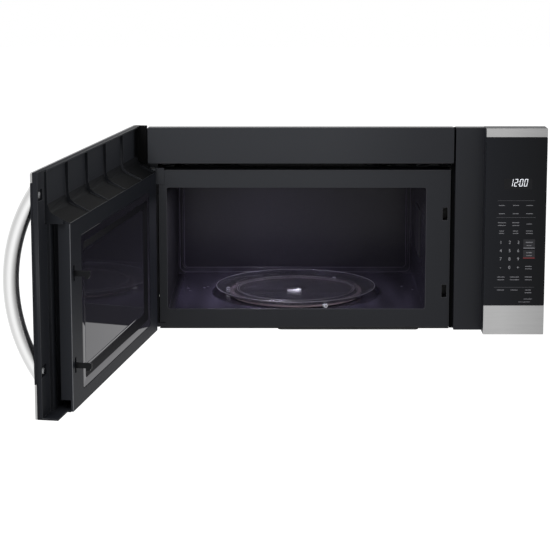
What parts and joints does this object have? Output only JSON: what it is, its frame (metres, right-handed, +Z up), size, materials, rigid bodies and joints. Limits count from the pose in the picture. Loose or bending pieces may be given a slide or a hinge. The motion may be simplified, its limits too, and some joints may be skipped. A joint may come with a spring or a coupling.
{
  "type": "over-the-range microwave oven",
  "caption": "Over-the-range microwave oven, side-hinged door open, with turntable, latch, extractor fan, underside filters and wall plate.",
  "frame": {"origin": "on the wall, at the middle of the wall plate's back face", "axes": "+X to the right seen from the front, +Y into the wall, +Z up; the front faces -Y"},
  "size_m": [0.9397, 1.0073, 0.4],
  "materials": {
    "charcoal_paint": "fine satin paint",
    "black_plastic": "fine grain",
    "black_glass": "gloss, printed black behind",
    "stainless": "brushed across",
    "galvanised": "zinc coated",
    "enamel": "smooth oven enamel",
    "clear_glass": "clear, smooth",
    "white_plastic": "smooth",
    "copper": "wound and varnished",
    "dark_metal": "satin",
    "board": "solder mask",
    "trim_screen": "perforated, painted black"
  },
  "bodies": {
    "cabinet": {"outer_case": "charcoal_paint", "exhaust_port_cover": "galvanised", "cord_grommet": "black_plastic", "back_plate": "galvanised", "wall_plate": "galvanised", "base_plate": "charcoal_paint", "light_cover": "black_plastic", "cooktop_lamp": "white_plastic", "top_panel": "charcoal_paint", "face_plate": "charcoal_paint", "control_housing": "charcoal_paint", "control_glass": "black_glass", "control_trim_bottom": "stainless", "control_trim_top": "stainless", "control_board": "board", "display_module": "black_plastic", "cavity_shell": "enamel", "waveguide_cover": "enamel", "waveguide": "galvanised", "magnetron": "galvanised", "cavity_lamp": "white_plastic", "turntable_motor": "galvanised", "exhaust_housing": "galvanised", "exhaust_motor": "dark_metal", "charcoal_filter": "black_plastic", "cooling_fan_housing": "black_plastic", "cooling_fan_motor": "dark_metal", "transformer": "copper", "capacitor": "galvanised", "latch_board": "white_plastic", "door_switch_upper": "black_plastic", "door_switch_lower": "black_plastic", "hinge_bracket_upper": "galvanised", "hinge_bracket_lower": "galvanised", "hinge_pin_upper": "dark_metal", "hinge_pin_lower": "dark_metal"},
    "door": {"door_glass": "black_glass", "door_trim_bottom": "stainless", "door_trim_top": "stainless", "door_frame": "black_plastic", "choke_frame": "charcoal_paint", "window_screen": "trim_screen", "inner_window": "black_glass", "handle": "stainless", "handle_screw_lower": "galvanised", "handle_screw_upper": "galvanised"},
    "latch": {"latch_bar": "black_plastic", "latch_spring": "galvanised"},
    "coupler": {"drive_coupler": "white_plastic"},
    "tray": {"glass_tray": "clear_glass"},
    "ring": {"roller_ring": "black_plastic"},
    "roller_1": {"roller_1": "white_plastic"},
    "roller_2": {"roller_2": "white_plastic"},
    "roller_3": {"roller_3": "white_plastic"},
    "cooling_wheel": {"cooling_fan_wheel": "white_plastic"},
    "exhaust_rotor": {"exhaust_wheel": "black_plastic"},
    "plunger_upper": {"switch_plunger_upper": "white_plastic"},
    "plunger_lower": {"switch_plunger_lower": "white_plastic"},
    "filter_left": {"grease_filter_left": "galvanised"},
    "filter_right": {"grease_filter_right": "galvanised"}
  },
  "joints": [
    {"name": "door_hinge", "type": "hinge", "parent": "cabinet", "child": "door", "pos_m": [-0.3669, -0.388, 0.07], "axis": [0, 0, 1], "range_deg": [0, 99.6]},
    {"name": "latch_lift", "type": "slide", "parent": "door", "child": "latch", "axis": [0, 0, 1], "range_m": [0, 0.004], "stiffness_N_per_m": 400, "springref_m": -0.004, "deforming": ["latch_spring"]},
    {"name": "coupler_spin", "type": "hinge", "parent": "cabinet", "child": "coupler", "pos_m": [-0.092, -0.1988, -0.097], "axis": [0, 0, 1], "continuous": true},
    {"name": "tray_lift", "type": "slide", "parent": "coupler", "child": "tray", "axis": [0, 0, 1], "range_m": [0, 0.03]},
    {"name": "ring_spin", "type": "hinge", "parent": "cabinet", "child": "ring", "pos_m": [-0.092, -0.1988, -0.097], "axis": [0, 0, 1], "continuous": true},
    {"name": "roller_1_spin", "type": "hinge", "parent": "ring", "child": "roller_1", "pos_m": [-0.03499, -0.32447, -0.0966], "axis": [0.4131, -0.9107, 0], "continuous": true},
    {"name": "roller_2_spin", "type": "hinge", "parent": "ring", "child": "roller_2", "pos_m": [-0.01167, -0.08659, -0.0966], "axis": [0.5821, 0.8131, 0], "continuous": true},
    {"name": "roller_3_spin", "type": "hinge", "parent": "ring", "child": "roller_3", "pos_m": [-0.22934, -0.18533, -0.0966], "axis": [-0.9952, 0.0976, 0], "continuous": true},
    {"name": "cooling_fan_spin", "type": "hinge", "parent": "cabinet", "child": "cooling_wheel", "pos_m": [0.2805, -0.0298, -0.04], "axis": [0, 1, 0], "continuous": true},
    {"name": "exhaust_wheel_spin", "type": "hinge", "parent": "cabinet", "child": "exhaust_rotor", "pos_m": [-0.0795, -0.1188, 0.19], "axis": [0, 0, 1], "continuous": true},
    {"name": "plunger_upper_press", "type": "slide", "parent": "cabinet", "child": "plunger_upper", "axis": [0, 1, 0], "range_m": [0, 0.0025], "stiffness_N_per_m": 300, "springref_m": -0.002},
    {"name": "plunger_lower_press", "type": "slide", "parent": "cabinet", "child": "plunger_lower", "axis": [0, 1, 0], "range_m": [0, 0.0025], "stiffness_N_per_m": 300, "springref_m": -0.002},
    {"name": "filter_left_pull", "type": "slide", "parent": "cabinet", "child": "filter_left", "axis": [0, 0, -1], "range_m": [0, 0.04]},
    {"name": "filter_right_pull", "type": "slide", "parent": "cabinet", "child": "filter_right", "axis": [0, 0, -1], "range_m": [0, 0.04]}
  ],
  "couplings": [
    {"joint": "ring_spin", "follows": "coupler_spin", "ratio": 0.5},
    {"joint": "roller_1_spin", "follows": "coupler_spin", "ratio": -16.829},
    {"joint": "roller_2_spin", "follows": "coupler_spin", "ratio": -16.829},
    {"joint": "roller_3_spin", "follows": "coupler_spin", "ratio": -16.829}
  ]
}
